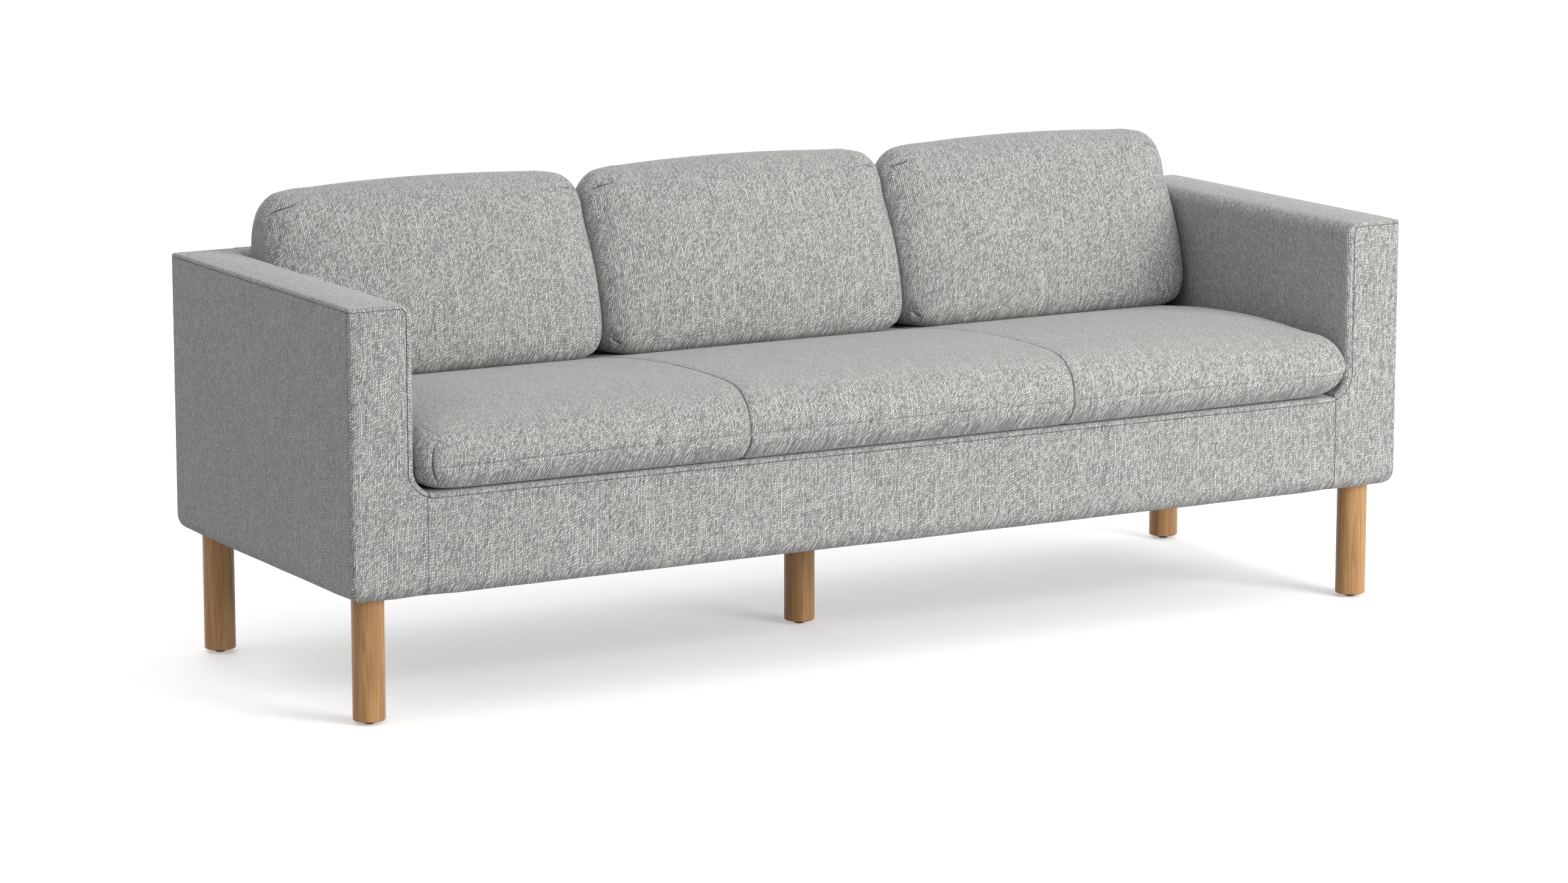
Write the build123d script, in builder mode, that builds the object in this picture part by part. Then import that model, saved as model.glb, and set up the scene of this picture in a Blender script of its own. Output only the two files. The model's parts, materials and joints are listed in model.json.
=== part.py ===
from build123d import *
import os

os.makedirs("parts", exist_ok=True)

# A three-seat sofa on five round wooden legs. Millimetres, +X to the right as seen from the front,
# +Y to the rear, +Z up, origin on the floor under the middle of the whole sofa.

# Overall sizes
sofa_width = 1955.0  # outside of one arm to the outside of the other
body_depth = 681.0  # front of the arms to the rear of the back
seat_overhang = 36.0  # seat cushion's nose in front of the arms
overall_height = 767.0  # floor to the top of the back cushions
arm_height = 654.0  # floor to the top of the arms and the back
deck_height = 361.0  # floor to the deck under the seat cushion
floor_gap = 198.0  # floor to the underside of the body
arm_thickness = 108.0
back_thickness = 54.0

# Rounded edges of the body
bottom_radius = 27.0
top_seam_radius = 6.0
corner_radius = 9.0
lip_radius = 22.0  # inner top edges of the arms and the back
front_corner_radius = 35.0  # lower corners of the seat opening, as seen from the front
least_radius = 0.5

# Upholstery layers and seams
cover_thickness = 3.0
foam_thickness = 24.0
fit_gap = 0.3
seam_inset = 6.0  # from a face of the body to the seam beside it
front_flare = 20.0  # arm fronts reach this far past the arms' inner faces, below the deck
rail_seam_drop = 7.0  # deck down to the seam along the front rail
deck_lip_depth = 80.0

# Wooden frame
rail_thickness = 28.0
side_rail_thickness = 24.0
cross_rail_width = 45.0
cross_rail_height = 100.0
rail_lift = 8.0  # underside of the body to the underside of the seat rails
base_board_thickness = 20.0
front_post_depth = 70.0
rear_post_depth = 80.0
arm_top_rail_thickness = 22.0
arm_lining_thickness = 6.0
outer_lining_thickness = 3.0
back_lining_thickness = 3.0
back_top_rail_height = 50.0
upright_width = 60.0
upright_pitch = 560.0
upright_count = 3
corner_block_leg = 70.0
corner_block_height = 50.0

# Elastic webbing
strap_thickness = 2.0
strap_width = 60.0
lengthwise_strap_count = 9
crosswise_strap_count = 3

# Legs, glides and fasteners
leg_diameter = 51.0
leg_inset_x = 50.0  # outside of the arm to the centre of the leg
leg_inset_y = 55.0  # front or rear of the body to the centre of the leg
leg_edge_break = 1.5
glide_diameter = 19.0
glide_height = 6.0
glide_edge_break = 2.0
nail_diameter = 2.4
nail_length = 18.0
nail_seat = 2.0  # glide left under the nail's head end
bolt_diameter = 8.0
bolt_clearance = 0.3
bolt_head_diameter = 18.0
bolt_head_height = 5.0
bolt_grip = 30.0  # length of an arm bolt inside the post
bolt_drop = 38.0  # top of the side rail down to the arm bolts
hanger_bolt_in_leg = 35.0
insert_diameter = 12.0
insert_length = 18.0

# Seat cushion
seat_nose_height = 51.0  # cushion's underside to the tip of the nose
seat_nose_under = 50.0  # tip back to the start of the flat underside
seat_nose_over = 75.0  # tip back to the top of the nose
seat_front_thickness = 121.0  # at the top of the nose, mid width
seat_swell = 9.5  # rise of the top over a straight line from nose to back cushions
seat_platform_front_thickness = 96.0  # under the front of the back cushions
seat_platform_rear_thickness = 82.0
seat_rear_radius = 20.0
seat_crown_drop = 12.0  # fall of the top from mid width to the ends
seat_nose_bow = 9.0  # the nose is drawn in this much towards the ends
seat_end_radius = 60.0  # length of each rounded end
seat_end_low = 32.0  # how far each end is drawn in, from below, above, front and rear
seat_end_high = 28.0
seat_end_front = 16.0
seat_end_rear = 10.0

# Back cushions, set out from the inner face of the back and from the seat cushion under them
back_cushion_places = ("left", "centre", "right")
cushion_gap = 2.0
arm_gap = 1.5
back_foot_setback = 151.0  # front end of the flat underside
back_belly_setback = 186.0  # foremost point of the front
back_belly_height = 33.0
back_shoulder_setback = 108.0
back_shoulder_drop = 47.0
back_rear_radius = 45.0  # rear top edge
back_heel_radius = 28.0  # rear bottom edge
back_front_swell = 12.0
back_crown_drop = 8.0
back_front_bow = 10.0
back_end_radius = 50.0
back_end_low = 22.0
back_end_high = 46.0
back_end_front = 42.0
back_end_rear = 16.0

# Places worked out from the sizes above
margin = 40.0  # how far cutting shapes pass the faces that they cut
half_width = sofa_width / 2
overall_depth = body_depth + seat_overhang
rear = overall_depth / 2
front = rear - body_depth
middle = (front + rear) / 2
inner_half = half_width - arm_thickness
back_inner = rear - back_thickness
foam_outside = cover_thickness + fit_gap
foam_inside = foam_outside + foam_thickness
wood_inset = foam_inside + fit_gap
frame_inset = foam_outside + outer_lining_thickness
frame_top = arm_height - wood_inset
frame_front = front + max(wood_inset, bottom_radius + fit_gap)
arm_frame_inner = inner_half + wood_inset
post_inner = arm_frame_inner + arm_lining_thickness
post_outer = half_width - frame_inset
back_frame_front = back_inner + wood_inset + back_lining_thickness
back_frame_rear = rear - frame_inset
board_bottom = floor_gap + foam_outside
board_top = board_bottom + base_board_thickness
rail_bottom = floor_gap + rail_lift
rail_top = deck_height - foam_outside - 2 * strap_thickness
side_rail_top = rail_top + strap_thickness
side_rail_inner = arm_frame_inner - side_rail_thickness
front_rail_rear = frame_front + rail_thickness
rear_rail_front = back_frame_front - rail_thickness
leg_x = half_width - leg_inset_x
leg_places = {
    "front_left": (-leg_x, front + leg_inset_y),
    "front_right": (leg_x, front + leg_inset_y),
    "rear_left": (-leg_x, rear - leg_inset_y),
    "rear_right": (leg_x, rear - leg_inset_y),
    "centre": (0, middle),
}
sides = {"left": -1, "right": 1}


def save(piece, name):
    """Label a finished piece and write it."""
    piece.part.label = name
    export_step(piece.part, f"parts/{name}.step")


def block(x, y, z, mode=Mode.ADD):
    """Box between pairs of coordinates along X, Y and Z."""
    spans = (x, y, z)
    centre = tuple((low + high) / 2 for low, high in spans)
    with Locations(centre):
        Box(*(high - low for low, high in spans), mode=mode)


def side_span(side, inner, outer):
    """Pair of X coordinates on one side of the sofa."""
    return tuple(sorted((side * inner, side * outer)))


def bend(start, end, corner):
    """Rounded corner between two points, near a quarter turn, for a corner where their tangents meet."""
    share = 1 - 0.5**0.5
    middle_point = tuple(share * (a + b) + (1 - 2 * share) * c for a, b, c in zip(start, end, corner))
    ThreePointArc(start, middle_point, end)


# Upholstered body


def soften(corners, radius):
    """Round the corners of a sketch, as far as the radius reaches."""
    if radius > least_radius:
        fillet(corners, radius)


def seat_well(inset):
    """Space between the arms and above the deck, with its walls moved outwards by inset."""
    half = inner_half + inset
    floor = deck_height - inset
    top = arm_height - inset
    wall = back_inner + inset
    lip = max(lip_radius - inset, least_radius)
    with BuildPart() as well:
        with BuildSketch(Plane.XZ.offset(margin - front)):
            with BuildLine():
                Polyline((0, floor), (half, floor), (half, top - lip))
                TangentArc((half, top - lip), (half + lip, top), tangent=(0, 1))
                Polyline((half + lip, top), (half + lip, top + margin), (0, top + margin))
                mirror(about=Plane.YZ)
            make_face()
        extrude(amount=front - rear - margin)
        with BuildSketch(Plane.YZ):
            with BuildLine():
                Polyline(
                    (wall, top - lip),
                    (wall, floor - margin),
                    (front - 2 * margin, floor - margin),
                    (front - 2 * margin, top + margin),
                    (wall + lip, top + margin),
                    (wall + lip, top),
                )
                TangentArc((wall + lip, top), (wall, top - lip), tangent=(-1, 0))
            make_face()
        extrude(amount=half_width, both=True, mode=Mode.INTERSECT)
    return well.part


def body_form(inset):
    """Upholstered body with its seat well, every face moved into the body by inset."""
    bottom = floor_gap + inset
    top = arm_height - inset
    height = top - bottom
    with BuildPart() as form:
        with BuildSketch(Plane.XZ.offset(-middle)) as front_view:
            with Locations((0, (bottom + top) / 2)):
                Rectangle(sofa_width - 2 * inset, height)
            soften(front_view.vertices().group_by(Axis.Y)[0], bottom_radius - inset)
            soften(front_view.vertices().group_by(Axis.Y)[-1], top_seam_radius - inset)
        extrude(amount=body_depth, both=True)
        with BuildSketch(Plane.YZ) as side_view:
            with Locations((middle, (bottom + top) / 2)):
                Rectangle(body_depth - 2 * inset, height)
            soften(side_view.vertices().group_by(Axis.Y)[0], bottom_radius - inset)
            soften(side_view.vertices().group_by(Axis.Y)[-1], top_seam_radius - inset)
        extrude(amount=sofa_width, both=True, mode=Mode.INTERSECT)
        with BuildSketch(Plane.XY) as plan:
            with Locations((0, middle)):
                Rectangle(sofa_width - 2 * inset, body_depth - 2 * inset)
            soften(plan.vertices(), corner_radius - inset)
        extrude(amount=arm_height + margin, mode=Mode.INTERSECT)
        add(seat_well(inset), mode=Mode.SUBTRACT)
    return form.part


def cut_out(form, regions):
    """Part of a form inside the regions, each given as spans along X, Y and Z."""
    with BuildPart() as region:
        for spans in regions:
            block(*spans)
    with BuildPart() as piece:
        add(form)
        add(region.part, mode=Mode.INTERSECT)
    return piece.part


def panel(form, name, regions, holes=()):
    """Part of a form inside the regions, less holes for leg bolts, as a finished piece."""
    with BuildPart() as piece:
        add(cut_out(form, regions))
        for place in holes:
            with Locations((*place, floor_gap)):
                Cylinder(insert_diameter / 2, 2 * cover_thickness + fit_gap, mode=Mode.SUBTRACT)
    save(piece, name)


# Cover panels

with BuildPart() as cover_skin:
    add(body_form(0))
    add(body_form(cover_thickness), mode=Mode.SUBTRACT)
cover = cover_skin.part
rail_end = inner_half - front_flare
rail_seam = deck_height - rail_seam_drop
top_seam = arm_height - seam_inset
front_seam = front + seam_inset
rear_seam = rear - seam_inset
lip_rear = front + deck_lip_depth
above = arm_height + margin
edge_top = floor_gap + bottom_radius
outer_wrap = arm_frame_inner  # outer covers turn under the arms as far as the arm frames
below_deck = deck_height - cover_thickness - fit_gap
deck_rim = deck_height + fit_gap

for name, side in sides.items():
    arm_legs = [place for corner, place in leg_places.items() if corner.endswith(name)]
    panel(
        cover,
        f"{name}_arm_cover_outer",
        [(side_span(side, outer_wrap, half_width), (front_seam, rear_seam), (floor_gap, top_seam))],
        holes=arm_legs,
    )
    with BuildPart() as arm_front:
        add(
            cut_out(
                cover,
                [(side_span(side, rail_end, half_width), (front, front_seam), (floor_gap, top_seam))],
            )
        )
        with BuildSketch(Plane.XZ.offset(-front)):
            with BuildLine():
                corner_start = (side * (inner_half - front_corner_radius), deck_height)
                corner_end = (side * inner_half, deck_height + front_corner_radius)
                TangentArc(corner_start, corner_end, tangent=(side, 0))
                Polyline(corner_end, (side * inner_half, deck_height), corner_start)
            make_face()
        extrude(amount=-seam_inset)
    save(arm_front, f"{name}_arm_cover_front")
    panel(
        cover,
        f"{name}_arm_cover_inner",
        [
            (side_span(side, inner_half, half_width), (front, rear), (top_seam, above)),
            (side_span(side, inner_half, outer_wrap), (front_seam, rear_seam), (deck_height, top_seam)),
        ],
    )

inner_span = (-inner_half, inner_half)
rail_span = (-rail_end, rail_end)
panel(
    cover,
    "back_cover_inner",
    [
        (inner_span, (back_inner, rear), (top_seam, above)),
        (inner_span, (back_inner, rear_seam), (deck_height, top_seam)),
    ],
)
panel(cover, "back_cover_outer", [((-half_width, half_width), (rear_seam, rear), (floor_gap, top_seam))])
panel(cover, "front_rail_cover", [(rail_span, (front, lip_rear), (floor_gap, rail_seam))])
panel(cover, "deck_front_lip", [(rail_span, (front, lip_rear), (rail_seam, deck_rim))])
panel(
    cover,
    "seat_deck",
    [
        (inner_span, (lip_rear, back_inner), (below_deck, deck_rim)),
        ((rail_end, inner_half), (front_seam, lip_rear), (below_deck, deck_rim)),
        ((-inner_half, -rail_end), (front_seam, lip_rear), (below_deck, deck_rim)),
    ],
)
panel(
    cover,
    "dust_cover",
    [
        ((-outer_wrap, outer_wrap), (lip_rear, rear_seam), (floor_gap, edge_top)),
        ((rail_end, outer_wrap), (front_seam, lip_rear), (floor_gap, edge_top)),
        ((-outer_wrap, -rail_end), (front_seam, lip_rear), (floor_gap, edge_top)),
    ],
    holes=[leg_places["centre"]],
)

# Foam under the covers

padding = body_form(foam_outside)
foam_rear = back_inner + foam_inside
top_foam_z = (arm_height - foam_inside, arm_height)
for name, side in sides.items():
    foam_x = side_span(side, inner_half, inner_half + foam_inside)
    arm_x = side_span(side, inner_half, post_outer)
    panel(
        padding,
        f"{name}_arm_foam",
        [
            (foam_x, (front, foam_rear), (deck_height, arm_height)),
            (arm_x, (front, back_frame_rear), top_foam_z),
            (arm_x, (front, front + foam_inside), (edge_top, arm_height)),
        ],
    )
panel(
    padding,
    "back_foam",
    [
        (inner_span, (back_inner, foam_rear), (deck_height, arm_height)),
        (inner_span, (back_inner, back_frame_rear), top_foam_z),
    ],
)
panel(padding, "front_rail_foam", [(inner_span, (front, front + foam_inside), (edge_top, deck_height))])

# Seat frame

side_rail_y = (frame_front, back_frame_front)
between_rails = (-side_rail_inner, side_rail_inner)
arm_bolt_z = side_rail_top - bolt_drop
front_bolt_y = front_rail_rear + bolt_head_diameter
rear_bolt_y = rear_rail_front - bolt_head_diameter
arm_bolt_places = [(y, arm_bolt_z) for y in (front_bolt_y, rear_bolt_y)]
bolt_hole_radius = bolt_diameter / 2 + bolt_clearance


def arm_bolt_holes(side, start, end):
    """Holes for the arm bolts, along X."""
    with Locations(*(((side * (start + end)) / 2, y, z) for y, z in arm_bolt_places)):
        Cylinder(bolt_hole_radius, end - start, rotation=(0, 90, 0), mode=Mode.SUBTRACT)


def insert_holes(places):
    """Holes in the underside of a board for the threaded inserts that the legs screw into."""
    with Locations(*((*place, board_bottom + insert_length / 2) for place in places)):
        Cylinder(insert_diameter / 2 + fit_gap / 2, insert_length, mode=Mode.SUBTRACT)


with BuildPart() as front_seat_rail:
    block(between_rails, (frame_front, front_rail_rear), (rail_bottom, rail_top))
save(front_seat_rail, "front_seat_rail")

with BuildPart() as rear_seat_rail:
    block(between_rails, (rear_rail_front, back_frame_front), (rail_bottom, rail_top))
save(rear_seat_rail, "rear_seat_rail")

for name, side in sides.items():
    with BuildPart() as side_rail:
        block(side_span(side, side_rail_inner, arm_frame_inner), side_rail_y, (rail_bottom, side_rail_top))
        arm_bolt_holes(side, side_rail_inner, arm_frame_inner)
    save(side_rail, f"{name}_seat_rail")

with BuildPart() as centre_cross_rail:
    block(
        (-cross_rail_width / 2, cross_rail_width / 2),
        (front_rail_rear, rear_rail_front),
        (board_bottom, board_bottom + cross_rail_height),
    )
    insert_holes([leg_places["centre"]])
save(centre_cross_rail, "centre_cross_rail")

with BuildPart() as seat_corner_blocks:
    with BuildSketch(Plane.XY.offset(rail_bottom)):
        for x_way in (-1, 1):
            for y_way, rail_face in ((1, front_rail_rear), (-1, rear_rail_front)):
                corner_x = x_way * side_rail_inner
                with BuildLine():
                    Polyline(
                        (corner_x, rail_face),
                        (corner_x - x_way * corner_block_leg, rail_face),
                        (corner_x, rail_face + y_way * corner_block_leg),
                        close=True,
                    )
                make_face()
    extrude(amount=corner_block_height)
save(seat_corner_blocks, "seat_corner_blocks")

with BuildPart() as lengthwise_webbing:
    strap_pitch = 2 * side_rail_inner / lengthwise_strap_count
    with Locations((0, (frame_front + back_frame_front) / 2, rail_top + strap_thickness / 2)):
        with GridLocations(strap_pitch, 0, lengthwise_strap_count, 1):
            Box(strap_width, back_frame_front - frame_front, strap_thickness)
save(lengthwise_webbing, "seat_webbing_lengthwise")

with BuildPart() as crosswise_webbing:
    strap_pitch = (rear_rail_front - front_rail_rear) / crosswise_strap_count
    strap_place = (0, (front_rail_rear + rear_rail_front) / 2, side_rail_top + strap_thickness / 2)
    with Locations(strap_place):
        with GridLocations(0, strap_pitch, 1, crosswise_strap_count):
            Box(2 * arm_frame_inner, strap_width, strap_thickness)
save(crosswise_webbing, "seat_webbing_crosswise")

# Arm frames

board_outer = half_width - bottom_radius
board_y = (front + bottom_radius, rear - bottom_radius)
front_post_y = (frame_front, frame_front + front_post_depth)
rear_post_y = (back_frame_rear - rear_post_depth, back_frame_rear)
top_rail_bottom = frame_top - arm_top_rail_thickness
lining_end = max(frame_inset, corner_radius)  # outer linings stop short of the rounded corners
for name, side in sides.items():
    post_x = side_span(side, post_inner, post_outer)
    arm_legs = [place for corner, place in leg_places.items() if corner.endswith(name)]

    with BuildPart() as base_board:
        block(side_span(side, arm_frame_inner, board_outer), board_y, (board_bottom, board_top))
        insert_holes(arm_legs)
    save(base_board, f"{name}_arm_base_board")

    for end, post_y in (("front", front_post_y), ("rear", rear_post_y)):
        with BuildPart() as post:
            block(post_x, post_y, (board_top, frame_top))
            arm_bolt_holes(side, post_inner, post_inner + bolt_grip)
        save(post, f"{name}_arm_{end}_post")

    with BuildPart() as top_rail:
        block(post_x, (front_post_y[1], rear_post_y[0]), (top_rail_bottom, frame_top))
    save(top_rail, f"{name}_arm_top_rail")

    with BuildPart() as inner_lining:
        block(
            side_span(side, arm_frame_inner, post_inner),
            (frame_front, back_inner + wood_inset),
            (board_top, frame_top),
        )
        arm_bolt_holes(side, arm_frame_inner, post_inner)
    save(inner_lining, f"{name}_arm_inner_lining")

    with BuildPart() as outer_lining:
        block(
            side_span(side, post_outer, half_width - foam_outside),
            (frame_front, rear - lining_end),
            (edge_top, frame_top),
        )
    save(outer_lining, f"{name}_arm_outer_lining")

# Back frame

back_frame_y = (back_frame_front, back_frame_rear)
back_rail_bottom = frame_top - back_top_rail_height
with BuildPart() as back_top_rail:
    block((-post_inner, post_inner), back_frame_y, (back_rail_bottom, frame_top))
save(back_top_rail, "back_top_rail")

with BuildPart() as back_uprights:
    upright_height = back_rail_bottom - edge_top
    upright_place = (0, sum(back_frame_y) / 2, edge_top + upright_height / 2)
    with Locations(upright_place):
        with GridLocations(upright_pitch, 0, upright_count, 1):
            Box(upright_width, back_frame_rear - back_frame_front, upright_height)
save(back_uprights, "back_uprights")

with BuildPart() as back_inner_lining:
    lining_x = (-arm_frame_inner, arm_frame_inner)
    block(lining_x, (back_inner + wood_inset, back_frame_front), (side_rail_top, frame_top))
save(back_inner_lining, "back_inner_lining")

with BuildPart() as back_outer_lining:
    block(
        (lining_end - half_width, half_width - lining_end),
        (back_frame_rear, rear - foam_outside),
        (edge_top, frame_top),
    )
save(back_outer_lining, "back_outer_lining")

# Legs, glides and fasteners

for corner, place in leg_places.items():
    with BuildPart() as leg:
        with BuildSketch(Plane.XY.offset(glide_height)):
            with Locations(place):
                Circle(leg_diameter / 2)
        extrude(amount=floor_gap - glide_height)
        chamfer(leg.edges().filter_by(GeomType.CIRCLE), leg_edge_break)
        with Locations((*place, floor_gap - hanger_bolt_in_leg / 2)):
            Cylinder(bolt_hole_radius, hanger_bolt_in_leg, mode=Mode.SUBTRACT)
        nail_hole_length = nail_length + nail_seat - glide_height
        with Locations((*place, glide_height + nail_hole_length / 2)):
            Cylinder(nail_diameter / 2 + fit_gap / 2, nail_hole_length, mode=Mode.SUBTRACT)
    save(leg, f"leg_{corner}")

with BuildPart() as leg_glides:
    with BuildSketch(Plane.XY):
        with Locations(*leg_places.values()):
            Circle(glide_diameter / 2)
    extrude(amount=glide_height)
    chamfer(leg_glides.edges().filter_by(GeomType.CIRCLE).group_by(Axis.Z)[0], glide_edge_break)
    with Locations(*((*place, (nail_seat + glide_height) / 2) for place in leg_places.values())):
        Cylinder(nail_diameter / 2 + fit_gap / 2, glide_height - nail_seat, mode=Mode.SUBTRACT)
save(leg_glides, "leg_glides")

with BuildPart() as glide_nails:
    with Locations(*((*place, nail_seat + nail_length / 2) for place in leg_places.values())):
        Cylinder(nail_diameter / 2, nail_length)
save(glide_nails, "glide_nails")

with BuildPart() as leg_inserts:
    with Locations(*((*place, board_bottom + insert_length / 2) for place in leg_places.values())):
        Cylinder(insert_diameter / 2, insert_length)
        Cylinder(bolt_hole_radius, insert_length, mode=Mode.SUBTRACT)
save(leg_inserts, "leg_inserts")

with BuildPart() as leg_hanger_bolts:
    hanger_bottom = floor_gap - hanger_bolt_in_leg
    hanger_length = board_bottom + insert_length - hanger_bottom
    with Locations(*((*place, hanger_bottom + hanger_length / 2) for place in leg_places.values())):
        Cylinder(bolt_diameter / 2, hanger_length)
save(leg_hanger_bolts, "leg_hanger_bolts")

with BuildPart() as arm_bolts:
    shank_length = post_inner + bolt_grip - side_rail_inner
    for side in sides.values():
        shank_x = side * (side_rail_inner + shank_length / 2)
        head_x = side * (side_rail_inner - bolt_head_height / 2)
        with Locations(*((shank_x, y, z) for y, z in arm_bolt_places)):
            Cylinder(bolt_diameter / 2, shank_length, rotation=(0, 90, 0))
        with Locations(*((head_x, y, z) for y, z in arm_bolt_places)):
            Cylinder(bolt_head_diameter / 2, bolt_head_height, rotation=(0, 90, 0))
save(arm_bolts, "arm_bolts")

# Seat cushion

seat_bottom = deck_height + fit_gap
seat_nose = -overall_depth / 2
seat_rear = back_inner - fit_gap
seat_half = inner_half - arm_gap
platform_front = back_inner - back_foot_setback - seat_rear_radius
platform_rear = seat_rear - seat_rear_radius


def rounded_end(radius, count=4):
    """Steps along a rounded end: distance past its start, and share of the full draw-in there."""
    quarter = [Vector(1, 0).rotate(Axis.Z, 90 * step / (count - 1)) for step in range(count)]
    return [(radius * point.Y, 1 - point.X) for point in quarter]


def seat_section(x, inset, bow, ends):
    """Side profile of the seat cushion at x, bow being the share of the crown's fall, ends of the end's."""
    tip = seat_nose + inset + seat_nose_bow * bow + seat_end_front * ends
    back = seat_rear - inset - seat_end_rear * ends
    bottom = seat_bottom + inset + seat_end_low * ends
    lowered = inset + seat_end_high * ends
    crown = seat_bottom + seat_front_thickness - lowered - seat_crown_drop * bow
    shelf_front = (platform_front, seat_bottom + seat_platform_front_thickness - lowered)
    shelf_rear = (platform_rear, seat_bottom + seat_platform_rear_thickness - lowered)
    nose_top = (tip + seat_nose_over, crown)
    nose_tip = (tip, max(seat_bottom + seat_nose_height, bottom + least_radius))
    nose_foot = (tip + seat_nose_under, bottom)
    heel = back - platform_rear
    rise = min(seat_rear_radius, (shelf_rear[1] - bottom) / 3)
    top_middle = ((shelf_front[0] + nose_top[0]) / 2, (shelf_front[1] + nose_top[1]) / 2 + seat_swell)
    with BuildSketch(Plane.YZ.offset(x)) as section:
        with BuildLine():
            Line(nose_foot, (back - heel, bottom))
            bend((back - heel, bottom), (back, bottom + rise), (back, bottom))
            Line((back, bottom + rise), (back, shelf_rear[1] - rise))
            bend((back, shelf_rear[1] - rise), shelf_rear, (back, shelf_rear[1]))
            Line(shelf_rear, shelf_front)
            ThreePointArc(shelf_front, top_middle, nose_top)
            bend(nose_top, nose_tip, (tip, crown))
            bend(nose_tip, nose_foot, (tip, bottom))
        make_face()
    return section.sketch


def back_section(x, inset, bow, ends):
    """Side profile of a back cushion at x, bow being the share of the crown's fall, ends of the end's."""
    top = overall_height - inset - back_crown_drop * bow - back_end_high * ends
    wall = back_inner - fit_gap - inset - back_end_rear * ends
    raised = fit_gap + inset + back_end_low * ends
    drawn = inset + back_front_bow * bow + back_end_front * ends
    slope = (seat_platform_front_thickness - seat_platform_rear_thickness) / (platform_rear - platform_front)

    def rest(y):
        """Height of the cushion's underside, parallel to the seat cushion below it."""
        return seat_bottom + seat_platform_front_thickness - slope * (y - platform_front) + raised

    heel_y = wall - back_heel_radius
    foot_y = back_inner - back_foot_setback + drawn
    belly_y = back_inner - back_belly_setback + drawn
    shoulder_y = back_inner - back_shoulder_setback + drawn * (1 - ends / 2)
    foot = (foot_y, rest(foot_y))
    heel = (heel_y, rest(heel_y))
    belly = (belly_y, rest(foot_y) + back_belly_height)
    shoulder = (shoulder_y, top - back_shoulder_drop)
    crest = (wall - back_rear_radius, top)
    swell_y = (belly[0] + shoulder[0]) / 2 - back_front_swell
    with BuildSketch(Plane.YZ.offset(x)) as section:
        with BuildLine():
            Line(foot, heel)
            bend(heel, (wall, heel[1] + back_heel_radius), (wall, heel[1]))
            Line((wall, heel[1] + back_heel_radius), (wall, top - back_rear_radius))
            bend((wall, top - back_rear_radius), crest, (wall, top))
            bend(crest, shoulder, ((shoulder[0] + crest[0]) / 2, top))
            ThreePointArc(shoulder, (swell_y, (belly[1] + shoulder[1]) / 2), belly)
            bend(belly, foot, (belly_y, foot[1]))
        make_face()
    return section.sketch


def cushion(section, half_length, end_radius, centre_x, inset):
    """Crowned cushion along X: a smooth loft between two rounded ends."""
    straight = half_length - inset - end_radius
    with BuildPart() as form:
        shares = (-1, -0.5, 0, 0.5, 1)
        loft([section(centre_x + straight * share, inset, share**2, 0) for share in shares])
        for way in (-1, 1):
            steps = rounded_end(end_radius)
            loft([section(centre_x + way * (straight + out), inset, 1, draw) for out, draw in steps], ruled=True)
    return form.part


def stuffed_cushion(name, *shape):
    """Cover and core of one cushion."""
    with BuildPart() as cover_piece:
        add(cushion(*shape, 0))
        add(cushion(*shape, cover_thickness), mode=Mode.SUBTRACT)
    save(cover_piece, f"{name}_cover")
    with BuildPart() as core_piece:
        add(cushion(*shape, cover_thickness + fit_gap))
    save(core_piece, f"{name}_core")


stuffed_cushion("seat_cushion", seat_section, seat_half, seat_end_radius, 0)
cushion_pitch = (2 * seat_half + cushion_gap) / len(back_cushion_places)
back_half = (cushion_pitch - cushion_gap) / 2
for number, place in enumerate(back_cushion_places):
    centre_x = (number + 0.5) * cushion_pitch - seat_half - cushion_gap / 2
    stuffed_cushion(f"back_cushion_{place}", back_section, back_half, back_end_radius, centre_x)
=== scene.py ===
import json
import math
from collections import namedtuple

import bmesh
import bpy
import numpy as np
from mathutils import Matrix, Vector, kdtree, noise
from mathutils.geometry import delaunay_2d_cdt


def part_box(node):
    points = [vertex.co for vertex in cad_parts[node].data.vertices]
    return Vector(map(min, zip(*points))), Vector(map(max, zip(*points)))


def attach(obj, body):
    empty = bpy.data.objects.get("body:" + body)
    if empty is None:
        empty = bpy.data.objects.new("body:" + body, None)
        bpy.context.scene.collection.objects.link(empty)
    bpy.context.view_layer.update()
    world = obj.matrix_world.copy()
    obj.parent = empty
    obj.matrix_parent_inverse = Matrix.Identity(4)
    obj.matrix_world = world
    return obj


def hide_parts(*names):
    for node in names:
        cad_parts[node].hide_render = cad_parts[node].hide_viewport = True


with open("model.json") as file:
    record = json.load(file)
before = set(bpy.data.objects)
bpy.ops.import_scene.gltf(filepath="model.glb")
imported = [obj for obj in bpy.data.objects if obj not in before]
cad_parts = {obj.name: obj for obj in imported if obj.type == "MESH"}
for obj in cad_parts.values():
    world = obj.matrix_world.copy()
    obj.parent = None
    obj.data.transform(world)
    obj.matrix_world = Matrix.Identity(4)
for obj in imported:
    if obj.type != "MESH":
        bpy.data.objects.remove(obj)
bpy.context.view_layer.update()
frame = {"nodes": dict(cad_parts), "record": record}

scene = bpy.context.scene
scene.view_settings.view_transform = "Standard"

# Sizes of the body, in metres, from the frame
half_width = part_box("right_arm_cover_outer")[1].x
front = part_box("front_rail_cover")[0].y
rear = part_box("back_cover_outer")[1].y
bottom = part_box("dust_cover")[0].z
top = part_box("back_cover_inner")[1].z
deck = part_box("seat_deck")[1].z
inner_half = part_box("seat_deck")[1].x
back_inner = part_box("seat_deck")[1].y
rail_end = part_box("front_rail_cover")[1].x
lip_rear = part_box("deck_front_lip")[1].y
wrap = half_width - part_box("dust_cover")[1].x  # how far the covers reach in under the body

# Rounded edges of the upholstery
bottom_radius = 0.027
corner_radius = 0.009
lip_radius = 0.022
cove_radius = 0.035

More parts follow.
